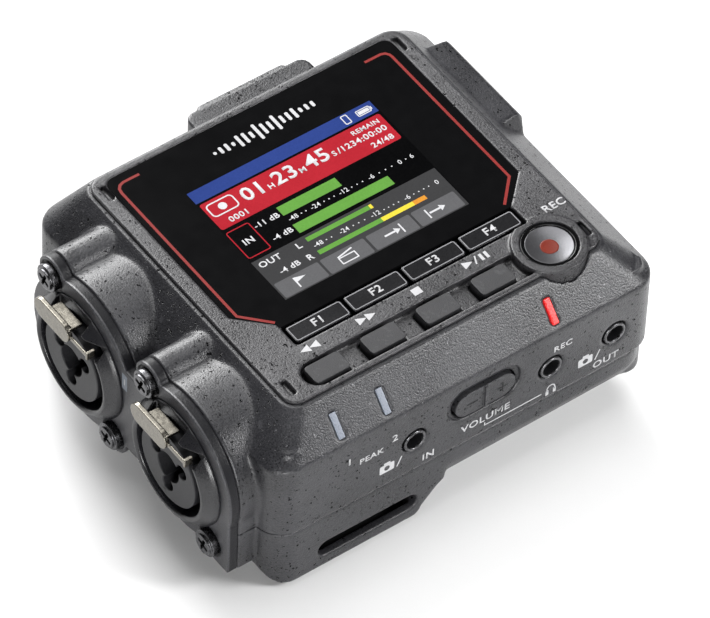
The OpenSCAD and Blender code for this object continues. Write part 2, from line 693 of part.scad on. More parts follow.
module card_socket() from_display() color([0.68, 0.69, 0.7]) difference() {
    block(bump_x - 19, bump_x - 3.6, 4, 16.4, board_z + pcb_t, -10);
    block(bump_x - 18, bump_x - 3, 4.7, 15.7, -12.2, -10.6);
}

module adapter_port() from_display() color([0.1, 0.1, 0.11]) difference() {
    block(1.6, 11.4, 24, block_y - 3.5, board_z + pcb_t, -9.4);
    block(2.6, 10.4, 26, block_y, -11.6, -10.4);
}

// One AA cell along X with its plus cap; alternate cells face opposite ways
module cell(i) {
    flip = i % 2 == 0 ? 1 : -1;
    mid = cell_x0 + cell_l / 2 + 0.5;
    half = cell_l / 2;
    rod_x(mid - half, mid + half, cell_y[i], cell_z, cell_d / 2, 48);
    translate([mid, cell_y[i], cell_z]) rotate([0, flip * 90, 0]) cylinder(r = 2.7, h = half + 1, $fn = 32);
}

module cell_1() from_display() color([0.8, 0.6, 0.2]) cell(0);
module cell_2() from_display() color([0.8, 0.6, 0.2]) cell(1);
module cell_3() from_display() color([0.8, 0.6, 0.2]) cell(2);
module cell_4() from_display() color([0.8, 0.6, 0.2]) cell(3);

// Flat contacts for the plus caps
module contacts_plus() from_display() color([0.8, 0.8, 0.82]) {
    for (i = [0, 2]) block(cell_x0 + cell_l + 1.55, bay_x1 - gap, cell_y[i] - 4, cell_y[i] + 4, cell_z - 4, cell_z + 4);
    for (i = [1, 3]) block(bay_x0 + gap, cell_x0 - 0.55, cell_y[i] - 4, cell_y[i] + 4, cell_z - 4, cell_z + 4);
}

// Coil contacts for the flat ends, as closed cones
module contacts_minus() from_display() color([0.8, 0.8, 0.82]) {
    for (i = [0, 2]) translate([bay_x0 + gap, cell_y[i], cell_z]) rotate([0, 90, 0])
        cylinder(r1 = 4.5, r2 = 2.5, h = cell_x0 + 0.45 - bay_x0 - gap, $fn = 32);
    for (i = [1, 3]) translate([bay_x1 - gap, cell_y[i], cell_z]) rotate([0, -90, 0])
        cylinder(r1 = 4.5, r2 = 2.5, h = bay_x1 - gap - (cell_x0 + cell_l + 0.55), $fn = 32);
}

module tripod_bush() from_display() color([0.78, 0.66, 0.36])
    translate([bush_pos[0], bush_pos[1], base_z + 0.1]) difference() {
        cylinder(r = bush_r - gap, h = 5.3, $fn = 64);
        translate([0, 0, -1]) cylinder(r = bush_bore, h = 5.5, $fn = 48);
    }

module foot_pads(places)
    for (p = places) translate([p[0], p[1], base_z - foot_h]) cylinder(r = 3.5, h = foot_h + 0.6, $fn = 32);

module case_feet() from_display() color([0.05, 0.05, 0.05]) foot_pads(case_foot_pos);
module door_feet() from_display() color([0.05, 0.05, 0.05]) foot_pads(door_foot_pos);

upper_case();
deck_plate();
lower_case();
battery_door();
adapter_cover();
card_cover();
card_cover_pin();
jack_plate();
combo_jack_1();
combo_jack_2();
combo_insert_1();
combo_insert_2();
latch_1();
latch_2();
jack_screws();
case_screws();
screen_lens();
lcd_module();
f_key_1();
f_key_2();
f_key_3();
f_key_4();
rewind_key();
forward_key();
stop_key();
play_key();
record_ring();
record_button();
peak_led_1();
peak_led_2();
record_led();
volume_rocker();
volume_switches();
ext_in_jack();
headphone_jack();
line_out_jack();
main_board();
key_board();
key_switches();
board_posts();
power_switch();
usb_port();
card_socket();
adapter_port();
cell_1();
cell_2();
cell_3();
cell_4();
contacts_plus();
contacts_minus();
tripod_bush();
case_feet();
door_feet();
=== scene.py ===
"""Looks of the portable field recorder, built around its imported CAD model."""
import math

import bmesh
import bpy
from mathutils import Matrix, Quaternion, Vector


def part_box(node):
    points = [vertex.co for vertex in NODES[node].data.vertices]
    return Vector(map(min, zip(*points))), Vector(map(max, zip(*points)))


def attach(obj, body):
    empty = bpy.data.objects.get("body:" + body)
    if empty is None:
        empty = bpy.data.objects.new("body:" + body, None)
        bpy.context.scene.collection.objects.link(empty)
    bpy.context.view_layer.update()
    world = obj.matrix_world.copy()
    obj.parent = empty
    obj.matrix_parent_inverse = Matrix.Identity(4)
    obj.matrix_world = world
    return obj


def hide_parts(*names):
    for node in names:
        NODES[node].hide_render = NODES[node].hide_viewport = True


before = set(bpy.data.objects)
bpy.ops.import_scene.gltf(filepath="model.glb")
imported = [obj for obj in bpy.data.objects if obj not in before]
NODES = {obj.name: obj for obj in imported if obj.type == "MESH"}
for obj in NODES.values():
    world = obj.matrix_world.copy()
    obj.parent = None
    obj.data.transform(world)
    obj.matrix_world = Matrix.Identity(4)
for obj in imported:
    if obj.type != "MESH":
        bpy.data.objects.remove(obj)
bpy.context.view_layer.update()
MM = 0.001

# Middle of the lit display area at deck level: every place below is in mm from here
LENS_LO, LENS_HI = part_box("screen_lens")
CENTRE_IN, CENTRE_BACK, LENS_DEPTH = 31, 26, 0.05
CENTRE = Vector((LENS_LO.x + CENTRE_IN * MM, LENS_HI.y - CENTRE_BACK * MM, LENS_HI.z + LENS_DEPTH * MM))
# Outer faces of the case, the socket plate and the socket cores, and the two input sockets' centres
FRONT_Y = -43.3
SOCKET_Y = (7.0, -23.0)
SOCKET_Z = -17.7
PLATE_X = -48.5
CORE_X = -50.9


def at(x, y, z):
    return CENTRE + Vector((x, y, z)) * MM


# ---- Materials ----

def add(tree, kind, inputs=None, **props):
    n = tree.nodes.new(kind)
    for k, v in props.items():
        setattr(n, k, v)
    for k, v in (inputs or {}).items():
        if isinstance(v, bpy.types.NodeSocket):
            tree.links.new(v, n.inputs[k])
        else:
            n.inputs[k].default_value = v
    return n


def mixed(tree, factor, a, b):
    n = add(tree, "ShaderNodeMix", {0: factor}, data_type="RGBA")
    for i, v in ((6, a), (7, b)):
        if isinstance(v, bpy.types.NodeSocket):
            tree.links.new(v, n.inputs[i])
        else:
            n.inputs[i].default_value = (*v, 1)
    return n.outputs[2]


def ramp(tree, value, lo, hi):
    return add(tree, "ShaderNodeMapRange", {"Value": value, "From Min": lo, "From Max": hi}).outputs[0]


def times(tree, a, b, op="MULTIPLY"):
    return add(tree, "ShaderNodeMath", {0: a, 1: b}, operation=op).outputs[0]


# Outline of the spots: how fine and how far it wanders, in spot sizes, and the width of its soft edge
WANDER_FINE, WANDER_FAR, SPOT_EDGE = 2.2, 1.7, 0.06
NOISE_MIDDLE = (0.5, 0.5, 0.5)


def flecks(tree, where, size, share, reach):
    """Spots of random size: one per cell of a Voronoi pattern, in a share of the cells."""
    bend = add(tree, "ShaderNodeTexNoise",
               {"Vector": where, "Scale": WANDER_FINE / (size * MM), "Detail": 3.0})
    moved = add(tree, "ShaderNodeVectorMath", {0: bend.outputs["Color"], 1: NOISE_MIDDLE},
                operation="SUBTRACT")
    shift = add(tree, "ShaderNodeVectorMath", {0: moved.outputs[0], "Scale": WANDER_FAR * size * MM},
                operation="SCALE")
    place = add(tree, "ShaderNodeVectorMath", {0: where, 1: shift.outputs[0]}, operation="ADD")
    cell = add(tree, "ShaderNodeTexVoronoi", {"Vector": place.outputs[0], "Scale": 1 / (size * MM)})
    picked = add(tree, "ShaderNodeSeparateColor", {0: cell.outputs["Color"]})
    wide = times(tree, ramp(tree, picked.outputs[0], 1 - share, 1.0), reach)
    edge = times(tree, wide, cell.outputs["Distance"], "SUBTRACT")
    return ramp(tree, edge, 0.0, SPOT_EDGE)


# The slope above the front face starts between these heights and ends between these depths, in mm
SLOPE_Z, SLOPE_Y = (-9, -7.6), (-35.8, -36.8)


def front_slope(tree, where):
    """1 on the slope above the front face, 0 elsewhere."""
    xyz = add(tree, "ShaderNodeSeparateXYZ", {0: where})
    high = ramp(tree, xyz.outputs[2], *(at(0, 0, z).z for z in SLOPE_Z))
    return times(tree, high, ramp(tree, xyz.outputs[1], *(at(0, y, 0).y for y in SLOPE_Y)))


CLOUD_SCALE, CLOUD_PART = 90.0, 0.4
TONE_FROM, TONE_TO = 0.35, 0.65
BUMP_DEPTH = 0.00012
STRIPE_EDGE = (0.45, 0.55)
PALE_SPOT = (0.2, 0.2, 0.21)
# Mesh pointiness where edge wear starts and is full; worn colour = base * gain + lift
WEAR_FROM, WEAR_TO, WEAR_GAIN, WEAR_LIFT = 0.53, 0.6, 2.2, 0.02
# A dark spot's colour, how much of the bump it takes, and how far the front slope hides dark spots
SPOT_TONE, SPOT_DIP, SLOPE_CALM = 0.1, 0.7, 0.85
# Painted shade on a rim band, where the edge turns away from the light: its width in mm, its darker colour
# and how much gloss it loses
SHADE_BAND_WIDE, SHADE_BAND_TONE, SHADE_BAND_DULL = 0.12, 0.4, 0.7


def finish(name, base, rough, metal=0.0, grain=0.0, grain_mm=0.3, vary=0.12, rough_vary=0.08,
           dark=(), pale=None, wear=0.0, emit=0.0, spec=0.5, stripes=None, rim=None):
    """One procedural finish: tone variation, grain bump, roughness variation, spots, edge wear and painted
    shade on a rim band.
    """
    m = bpy.data.materials.new(name)
    m.use_nodes = True
    t = m.node_tree
    bsdf = t.nodes["Principled BSDF"]
    where = add(t, "ShaderNodeTexCoord").outputs["Object"]
    cloud = add(t, "ShaderNodeTexNoise", {"Vector": where, "Scale": CLOUD_SCALE, "Detail": 4.0})
    fine = add(t, "ShaderNodeTexNoise", {"Vector": where, "Scale": 1 / (grain_mm * MM), "Detail": 3.0})
    both = times(t, times(t, cloud.outputs["Fac"], CLOUD_PART),
                 times(t, fine.outputs["Fac"], 1 - CLOUD_PART), "ADD")
    tone = ramp(t, both, TONE_FROM, TONE_TO)
    low = tuple(c * (1 - 2 * vary) for c in base)
    high = tuple(min(1, c * (1 + 2 * vary)) for c in base)
    colour = mixed(t, tone, low, high)
    height = fine.outputs["Fac"]
    shine = times(t, times(t, tone, 2 * vary * spec), spec * (1 - vary), "ADD")
    if stripes:
        wave = add(t, "ShaderNodeTexWave", {"Vector": where, "Scale": stripes[0], "Distortion": 0.0},
                   bands_direction=stripes[1])
        colour = mixed(t, ramp(t, wave.outputs["Fac"], *STRIPE_EDGE), colour, stripes[2])
    # Painted shade: past x = rim the colour turns darker and loses gloss, standing in for the shade on the
    # plate's edge
    if rim:
        across = add(t, "ShaderNodeSeparateXYZ", {0: where}).outputs[0]
        painted_shade = ramp(t, across, at(rim, 0, 0).x, at(rim + SHADE_BAND_WIDE, 0, 0).x)
        colour = mixed(t, painted_shade, colour, tuple(c * SHADE_BAND_TONE for c in base))
        shine = times(t, shine, times(t, 1.0, times(t, painted_shade, SHADE_BAND_DULL), "SUBTRACT"))
    calm = front_slope(t, where) if pale else None
    for size, share, reach, strength in dark:
        spot = times(t, flecks(t, where, size, share, reach), strength)
        if pale:
            spot = times(t, spot, times(t, 1.0, times(t, calm, SLOPE_CALM), "SUBTRACT"))
        colour = mixed(t, spot, colour, tuple(c * SPOT_TONE for c in base))
        shine = times(t, shine, times(t, 1.0, spot, "SUBTRACT"))
        height = times(t, height, times(t, spot, SPOT_DIP), "SUBTRACT")
    if pale:
        dot = times(t, flecks(t, where, *pale[:3]), times(t, calm, pale[3]))
        colour = mixed(t, dot, colour, PALE_SPOT)
    if wear:
        edge = add(t, "ShaderNodeNewGeometry").outputs["Pointiness"]
        colour = mixed(t, times(t, ramp(t, edge, WEAR_FROM, WEAR_TO), wear), colour,
                       tuple(min(1, c * WEAR_GAIN + WEAR_LIFT) for c in base))
    t.links.new(colour, bsdf.inputs["Base Color"])
    t.links.new(shine, bsdf.inputs["Specular IOR Level"])
    gloss = times(t, times(t, tone, 2 * rough_vary), rough - rough_vary, "ADD")
    t.links.new(gloss, bsdf.inputs["Roughness"])
    bsdf.inputs["Metallic"].default_value = metal
    if grain:
        bump = add(t, "ShaderNodeBump", {"Height": height, "Strength": grain, "Distance": BUMP_DEPTH})
        t.links.new(bump.outputs[0], bsdf.inputs["Normal"])
    if emit:
        t.links.new(colour, bsdf.inputs["Emission Color"])
        bsdf.inputs["Emission Strength"].default_value = emit
    return m


# Where the painted shade on the socket plate's rim starts, and the spots: cell size in mm, share of cells,
# reach, strength
PLATE_SHADE_FROM = -48.1
FLECKS = ((0.66, 0.55, 0.4, 0.95), (1.7, 0.3, 0.24, 0.95))
FEW = ((0.8, 0.16, 0.32, 0.85),)
MAT = {
    "case": finish("m_case", (0.024, 0.024, 0.027), 0.34, grain=0.6, vary=0.22, dark=FLECKS,
                   pale=(0.8, 0.3, 0.3, 0.8), wear=0.4),
    "deck": finish("m_deck", (0.028, 0.0275, 0.03), 0.34, grain=0.6, vary=0.22, dark=FLECKS, wear=0.4),
    # The socket plate's rim band is painted darker as shade
    "plate": finish("m_plate", (0.028, 0.028, 0.032), 0.36, grain=0.5, vary=0.15, dark=FEW, wear=0.35,
                    rim=PLATE_SHADE_FROM),
    "flap": finish("m_flap", (0.01, 0.01, 0.011), 0.6, grain=0.3, spec=0.2),
    "collar": finish("m_collar", (0.012, 0.012, 0.014), 0.3, grain=0.1, grain_mm=0.15, wear=0.2),
    "core": finish("m_core", (0.016, 0.016, 0.018), 0.45, grain=0.2, spec=0.3),
    "nickel": finish("m_nickel", (0.19, 0.178, 0.152), 0.26, metal=1.0, grain=0.03, grain_mm=0.8, vary=0.09,
                     rough_vary=0.05),
    "screw": finish("m_screw", (0.1, 0.1, 0.105), 0.27, metal=1.0, grain=0.015, vary=0.05, rough_vary=0.03),
    "steel": finish("m_steel", (0.3, 0.3, 0.32), 0.32, metal=1.0, grain=0.08),
    "lens": finish("m_lens", (0.003, 0.003, 0.0033), 0.12, rough_vary=0.01, vary=0.05, grain=0.002,
                   grain_mm=3.0, spec=0.24),
    "key": finish("m_key", (0.02, 0.02, 0.022), 0.5, grain=0.5, grain_mm=0.2, wear=0.3, spec=0.35),
    "f_key": finish("m_f_key", (0.005, 0.005, 0.006), 0.24, grain=0.01, vary=0.05, rough_vary=0.03, spec=0.3),
    "silver": finish("m_silver", (0.1, 0.1, 0.106), 0.36, metal=0.8, grain=0.01, vary=0.04, rough_vary=0.03),
    "rocker": finish("m_rocker", (0.024, 0.024, 0.027), 0.4, grain=0.8, vary=0.18, dark=FLECKS, wear=0.4),
    "socket": finish("m_socket", (0.008, 0.008, 0.009), 0.38, grain=0.1, spec=0.3),
    "socket_ring": finish("m_socket_ring", (0.11, 0.11, 0.115), 0.3, metal=0.9, grain=0.05),
    "board": finish("m_board", (0.012, 0.1, 0.045), 0.4, grain=0.2, grain_mm=1.0),
    "brass": finish("m_brass", (0.62, 0.45, 0.18), 0.32, metal=1.0, grain=0.06),
    "cell": finish("m_cell", (0.03, 0.035, 0.06), 0.35, metal=0.3, grain=0.03,
                   stripes=(60.0, "X", (0.5, 0.3, 0.08))),
    "foot": finish("m_foot", (0.012, 0.012, 0.012), 0.75, grain=0.4, spec=0.3),
    "display": finish("m_display", (0.008, 0.008, 0.01), 0.3, grain=0.05, spec=0.3),
    "lamp_off": finish("m_lamp_off", (0.19, 0.21, 0.25), 0.28, grain=0.05, spec=0.5, vary=0.05),
    "lamp_on": finish("m_lamp_on", (0.5, 0.012, 0.012), 0.3, grain=0.05, emit=0.8),
}


def ink(name, colour):
    return finish(name, colour, 0.45, grain=0.05, vary=0.04, spec=0.2)


def lit(name, colour, glow):
    return finish(name, colour, 0.2, rough_vary=0.03, grain=0.01, vary=0.04, emit=glow, spec=0.05)


INKS = {
    "white": ink("ink_white", (0.45, 0.45, 0.46)),
    "grey": ink("ink_grey", (0.2, 0.2, 0.21)),
    "black": ink("ink_black", (0.006, 0.006, 0.007)),
    "accent": ink("ink_accent", (0.19, 0.008, 0.006)),
    "dot": ink("ink_dot", (0.14, 0.014, 0.005)),
    "tag": ink("ink_tag", (0.2, 0.22, 0.25)),
    "lit_white": lit("lit_white", (0.36, 0.36, 0.37), 0.7),
    "lit_red": lit("lit_red", (0.22, 0.01, 0.016), 0.7),
    "lit_blue": lit("lit_blue", (0.014, 0.028, 0.12), 0.7),
    "lit_green": lit("lit_green", (0.065, 0.17, 0.03), 0.7),
    "lit_yellow": lit("lit_yellow", (0.4, 0.33, 0.03), 0.7),
    "lit_orange": lit("lit_orange", (0.36, 0.15, 0.02), 0.7),
    "lit_black": lit("lit_black", (0.001, 0.001, 0.0012), 0.3),
    "lit_dim": lit("lit_dim", (0.028, 0.028, 0.029), 0.4),
    "lit_key": lit("lit_key", (0.07, 0.07, 0.073), 0.4),
}


# ---- Geometry helpers ----

def link(o):
    bpy.context.scene.collection.objects.link(o)
    return o


def baked(o):
    """The object's mesh with its modifiers applied."""
    return bpy.data.meshes.new_from_object(o.evaluated_get(bpy.context.evaluated_depsgraph_get()))


def settle(o):
    made = baked(o)
    o.modifiers.clear()
    o.data = made
    return made


def dress(o, material, body, slot, *nodes):
    o.data.materials.clear()
    o.data.materials.append(material)
    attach(o, body)
    if nodes:
        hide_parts(*nodes)
    return o


WELD = 2e-6


def soften(node, name, voxel, passes, budget, zones):
    """Copy of a CAD node with its edges and inside corners rounded. zones are (low, high, passes) boxes."""
    bm = bmesh.new()
    bm.from_mesh(NODES[node].data)
    bmesh.ops.remove_doubles(bm, verts=bm.verts[:], dist=WELD)
    me = bpy.data.meshes.new(name)
    me.from_pydata([v.co[:] for v in bm.verts], [], [[v.index for v in f.verts] for f in bm.faces])
    bm.free()
    o = link(bpy.data.objects.new(name, me))
    skin = o.modifiers.new("skin", "REMESH")
    skin.mode = "VOXEL"
    skin.voxel_size = voxel * MM
    settle(o)
    jobs = [(None, passes)]
    for i, (lo, hi, extra) in enumerate(zones):
        group = o.vertex_groups.new(name="zone%d" % i)
        inside = [v.index for v in o.data.vertices
                  if all(a <= c <= b for a, c, b in zip(at(*lo), v.co, at(*hi)))]
        group.add(inside, 1.0, "REPLACE")
        jobs.append((group.name, extra))
    for group, times_over in jobs:
        if times_over:
            rub = o.modifiers.new("rub", "SMOOTH")
            rub.factor = 0.5
            rub.iterations = times_over
            if group:
                rub.vertex_group = group
    settle(o)
    o.vertex_groups.clear()
    faces = len(o.data.polygons) * 2
    if faces > budget:
        thin = o.modifiers.new("thin", "DECIMATE")
        thin.ratio = budget / faces
        settle(o)
    o.data.shade_smooth()
    return o


# ---- Camera, floor and light ----

VIEW_FROM = at(-539.08, -698.23, 978.70)
VIEW_ALONG = Vector((0.40574, 0.51856, -0.75264))
VIEW_ROLL = math.radians(2.706)
cam_data = bpy.data.cameras.new("camera")
cam_data.lens = 373.35
cam_data.sensor_width = 36
cam_data.clip_start = 0.05
camera = link(bpy.data.objects.new("camera", cam_data))
camera.location = VIEW_FROM
camera.rotation_mode = "QUATERNION"
camera.rotation_quaternion = VIEW_ALONG.to_track_quat("-Z", "Y") @ Quaternion((0, 0, 1), VIEW_ROLL)
bpy.context.scene.camera = camera

FLOOR = 4.0
floor_mesh = bpy.data.meshes.new("floor")
floor_mesh.from_pydata([(-FLOOR, -FLOOR, 0), (FLOOR, -FLOOR, 0), (FLOOR, FLOOR, 0), (-FLOOR, FLOOR, 0)],
                       [], [(0, 1, 2, 3)])
floor = link(bpy.data.objects.new("floor", floor_mesh))
floor_mesh.materials.append(finish("m_floor", (0.8, 0.8, 0.8), 0.9, vary=0.005, grain=0.0))


def lamp(name, place, aim, size, power):
    data = bpy.data.lights.new(name, "AREA")
    data.energy = power
    data.size = size
    o = link(bpy.data.objects.new(name, data))
    o.location = place
    o.rotation_mode = "QUATERNION"
    o.rotation_quaternion = (aim - place).to_track_quat("-Z", "Y")


MIDDLE = Vector((0, 0, 0.02))
# name, bearing and height in degrees, distance and size in metres, power in watts
for name, bearing, high, far, size, power in (
        ("rear_low", 79, 25, 1.0, 0.5, 13.5), ("rear_high", 80, 52, 1.1, 0.4, 5.5),
        ("left_front", 236, 14, 0.36, 0.12, 0.8), ("right_front", 310, 32, 0.46, 0.12, 1.6),
        ("overhead", 60, 84, 1.0, 0.6, 5.0)):
    turn, rise = math.radians(bearing), math.radians(high)
    way = Vector((math.cos(turn) * math.cos(rise), math.sin(turn) * math.cos(rise), math.sin(rise)))
    lamp(name, MIDDLE + way * far, MIDDLE, size, power)
WORLD_LIGHT = 0.05
world = bpy.data.worlds.new("world")
world.use_nodes = True
world.node_tree.nodes["Background"].inputs[0].default_value = (1, 1, 1, 1)
world.node_tree.nodes["Background"].inputs[1].default_value = WORLD_LIGHT
bpy.context.scene.world = world
bpy.context.scene.view_settings.view_transform = "Standard"

# ---- Marks: thin closed shapes on a plane, in mm ----

MARK_STEP = 0.012
MARK_THICK = 0.01
CAP_HEIGHT = 0.69
LETTER_GAP = 1.08
FOLD = 1.5
MIN_MITRE = 0.3


class Marks:
    """Flat marks on one plane, gathered into one thin closed mesh."""

    def __init__(self, name, colour, origin, along, up, level=0, body="case", slot="lens"):
        self.name, self.colour, self.body, self.slot = name, colour, body, slot
        self.u, self.v = Vector(along), Vector(up)
        self.n = self.u.cross(self.v)
        self.origin = at(*origin) + self.n * level * MARK_STEP * MM
        self.bm = bmesh.new()

    def poly(self, points):
        self.bm.faces.new([self.bm.verts.new((x, y, 0)) for x, y in points])

    def rect(self, x0, y0, x1, y1, r=0.0):
        self.poly(rounded(x0, y0, x1, y1, r) if r else [(x0, y0), (x1, y0), (x1, y1), (x0, y1)])

    def band(self, outer, inner):
        """The strip between two closed outlines with the same number of points."""
        a = [self.bm.verts.new((x, y, 0)) for x, y in outer]
        b = [self.bm.verts.new((x, y, 0)) for x, y in inner]
        for i in range(len(a)):
            j = (i + 1) % len(a)
            self.bm.faces.new((a[i], a[j], b[j], b[i]))

    def box(self, x0, y0, x1, y1, w, r):
        """A frame of line width w with corner radius r."""
        self.band(rounded(x0, y0, x1, y1, r), rounded(x0 + w, y0 + w, x1 - w, y1 - w, max(r - w, 0.05)))

    def disc(self, x, y, r, n=24):
        self.poly(circle(x, y, r, n))

    def stroke(self, points, w):
        """An open line of width w with mitred corners."""
        pts = [Vector(q) for q in points]
        sides = []
        for i, q in enumerate(pts):
            before = (q - pts[i - 1]).normalized() if i else (pts[1] - q).normalized()
            after = (pts[i + 1] - q).normalized() if i + 1 < len(pts) else before
            side = Vector((-(before + after).y, (before + after).x)).normalized()
            reach = w / 2 / max(MIN_MITRE, side.dot(Vector((-before.y, before.x))))
            sides.append((q + side * reach, q - side * reach))
        for (a, b), (c, d) in zip(sides, sides[1:]):
            self.poly([a, b, d, c])

    def words(self, text, x, y, height, align="CENTER", bold=0.012, squeeze=1.0):
        """Text whose capitals are height tall; y is its foot."""
        curve = bpy.data.curves.new("words", "FONT")
        curve.body, curve.align_x, curve.offset = text, align, bold
        curve.resolution_u = 3
        curve.space_character = LETTER_GAP
        o = link(bpy.data.objects.new("words", curve))
        bpy.context.view_layer.update()
        me = baked(o)
        # The offset folds the tiny steps in M, B and 4 over themselves, so their ends are merged
        glyphs = bmesh.new()
        glyphs.from_mesh(me)
        bmesh.ops.remove_doubles(glyphs, verts=glyphs.verts[:], dist=FOLD * bold)
        for e in [e for e in glyphs.edges if len(e.link_faces) > 2]:
            if len(e.link_faces) > 2:
                glyphs.faces.remove(min(e.link_faces, key=lambda f: f.calc_area()))
        bmesh.ops.delete(glyphs, geom=[e for e in glyphs.edges if not e.link_faces], context="EDGES")
        glyphs.to_mesh(me)
        glyphs.free()
        k = height / CAP_HEIGHT
        me.transform(Matrix.Translation((x, y, 0)) @ Matrix.Diagonal((k * squeeze, k, 1, 1)))
        self.bm.from_mesh(me)
        bpy.data.objects.remove(o)
        bpy.data.meshes.remove(me)

    def done(self):
        bm = self.bm
        bmesh.ops.remove_doubles(bm, verts=bm.verts[:], dist=1e-5)
        bmesh.ops.recalc_face_normals(bm, faces=bm.faces[:])
        # Every face looks down, and its copy above it becomes the top
        for f in bm.faces:
            if f.normal.z >= 0:
                f.normal_flip()
        top = bmesh.ops.extrude_face_region(bm, geom=bm.faces[:], use_keep_orig=True)["geom"]
        lid = [g for g in top if isinstance(g, bmesh.types.BMVert)]
        bmesh.ops.translate(bm, verts=lid, vec=(0, 0, MARK_THICK))
        bmesh.ops.recalc_face_normals(bm, faces=bm.faces[:])
        me = bpy.data.meshes.new(self.name)
        bm.to_mesh(me)
        bm.free()
        rows = [[self.u[i] * MM, self.v[i] * MM, self.n[i] * MM, self.origin[i]] for i in range(3)]
        me.transform(Matrix(rows + [[0, 0, 0, 1]]))
        return dress(link(bpy.data.objects.new(self.name, me)), INKS[self.colour], self.body, self.slot)


def circle(x, y, r, n):
    return [(x + r * math.cos(i * math.tau / n), y + r * math.sin(i * math.tau / n)) for i in range(n)]


def rounded(x0, y0, x1, y1, r, n=5):
    points = []
    corners = ((x1 - r, y1 - r, 0), (x0 + r, y1 - r, 90), (x0 + r, y0 + r, 180), (x1 - r, y0 + r, 270))
    for cx, cy, start in corners:
        for i in range(n + 1):
            a = math.radians(start + 90 * i / n)
            points.append((cx + r * math.cos(a), cy + r * math.sin(a)))
    return points


X_AXIS, Y_AXIS, Z_AXIS = (1, 0, 0), (0, 1, 0), (0, 0, 1)
LENS_TOP = -0.045
PROUD = 0.025


def on_lens(name, colour, level):
    return Marks(name, colour, (0, 0, LENS_TOP), X_AXIS, Y_AXIS, level)


def lathe(name, profile, centre, steps):
    """Shape turned round a vertical axis: profile is a closed loop of (radius, height) in mm."""
    bm = bmesh.new()
    rings = []
    for i in range(steps):
        a = i * math.tau / steps
        c, s = math.cos(a), math.sin(a)
        rings.append([bm.verts.new(at(*(Vector(centre) + Vector((r * c, r * s, d))))) for r, d in profile])
    for i in range(steps):
        a, b = rings[i], rings[(i + 1) % steps]
        for j in range(len(profile)):
            k = (j + 1) % len(profile)
            bm.faces.new((a[j], a[k], b[k], b[j]))
    bmesh.ops.remove_doubles(bm, verts=bm.verts[:], dist=1e-7)
    bmesh.ops.recalc_face_normals(bm, faces=bm.faces[:])
    me = bpy.data.meshes.new(name)
    bm.to_mesh(me)
    bm.free()
    me.shade_smooth()
    return link(bpy.data.objects.new(name, me))


# ---- Case ----

# Boxes smoothed further: the crease all round, the roots of the socket ridges, the ends of the strap keel
CREASE = ((-60, -60, -10), (60, 60, -6), 10)
ROOTS = ((-43.6, -42, -24), (-30, 26, -1.5), 22)
KEEL_ENDS = (((22, -46, -41), (46, -33, -26.6), 26), ((-9.6, -46, -41), (5, -33, -26.6), 26))
dress(soften("upper_case", "shell_upper", 0.3, 4, 190000, (CREASE, ROOTS)),
      MAT["case"], "case", "case", "upper_case")

# node: (new name, voxel mm, smoothing passes, face budget, material, body)
SOFT = {
    "lower_case": ("shell_lower", 0.33, 4, 150000, "case", "case"),
    "deck_plate": ("deck_top", 0.2, 3, 150000, "deck", "case"),
    "jack_plate": ("side_plate", 0.2, 3, 60000, "plate", "case"),
    "battery_door": ("door_panel", 0.25, 3, 60000, "case", "door"),
    "adapter_cover": ("adapter_flap", 0.12, 3, 16000, "flap", "adapter_flap"),
    "card_cover": ("card_flap", 0.1, 2, 16000, "flap", "card_flap"),
    "combo_jack_1": ("collar_1", 0.17, 3, 60000, "collar", "case"),
    "combo_jack_2": ("collar_2", 0.17, 3, 60000, "collar", "case"),
    "combo_insert_1": ("core_1", 0.13, 2, 40000, "core", "case"),
    "combo_insert_2": ("core_2", 0.13, 2, 40000, "core", "case"),
    "jack_screws": ("plate_screws", 0.1, 2, 40000, "screw", "case"),
    "case_screws": ("base_screws", 0.1, 1, 30000, "screw", "case"),
    "rewind_key": ("key_rewind", 0.11, 4, 12000, "key", "rewind"),
    "forward_key": ("key_forward", 0.11, 4, 12000, "key", "forward"),
    "stop_key": ("key_stop", 0.11, 4, 12000, "key", "stop"),
    "play_key": ("key_play", 0.11, 4, 12000, "key", "play"),
    "record_button": ("button_record", 0.11, 3, 16000, "silver", "record"),
    "record_ring": ("ring_record", 0.11, 3, 16000, "lens", "case"),
    "volume_rocker": ("rocker", 0.12, 4, 20000, "rocker", "volume"),
    "power_switch": ("power_knob", 0.09, 2, 16000, "rocker", "power"),
    "ext_in_jack": ("mini_socket_1", 0.12, 2, 16000, "socket", "case"),
    "headphone_jack": ("mini_socket_2", 0.12, 2, 16000, "socket", "case"),
    "line_out_jack": ("mini_socket_3", 0.12, 2, 16000, "socket", "case"),
    "peak_led_1": ("lamp_1", 0.1, 2, 4000, "lamp_off", "case"),
    "peak_led_2": ("lamp_2", 0.1, 2, 4000, "lamp_off", "case"),
    "record_led": ("lamp_3", 0.1, 2, 4000, "lamp_on", "case"),
    "case_feet": ("feet_case", 0.15, 4, 8000, "foot", "case"),
    "door_feet": ("feet_door", 0.15, 4, 8000, "foot", "door"),
}
for i in (1, 2, 3, 4):
    SOFT["f_key_%d" % i] = ("key_f%d" % i, 0.11, 2, 12000, "f_key", "f_key_%d" % i)
for i in (1, 2):
    SOFT["latch_%d" % i] = ("latch_plate_%d" % i, 0.075, 9, 20000, "nickel", "latch_%d" % i)
for node, (name, voxel, passes, budget, material, body) in SOFT.items():
    zones = KEEL_ENDS if node == "lower_case" else ()
    dress(soften(node, name, voxel, passes, budget, zones), MAT[material], body, material, node)


def plates(name, boxes):
    """Several closed boxes in one mesh, each (low corner, high corner)."""
    bm = bmesh.new()
    for lo, hi in boxes:
        lo, hi = at(*lo), at(*hi)
        made = bmesh.ops.create_cube(bm, size=1.0)["verts"]
        for v in made:
            v.co = Vector([(lo[k] + hi[k]) / 2 + v.co[k] * (hi[k] - lo[k]) for k in range(3)])
    me = bpy.data.meshes.new(name)
    bm.to_mesh(me)
    bm.free()
    return link(bpy.data.objects.new(name, me))
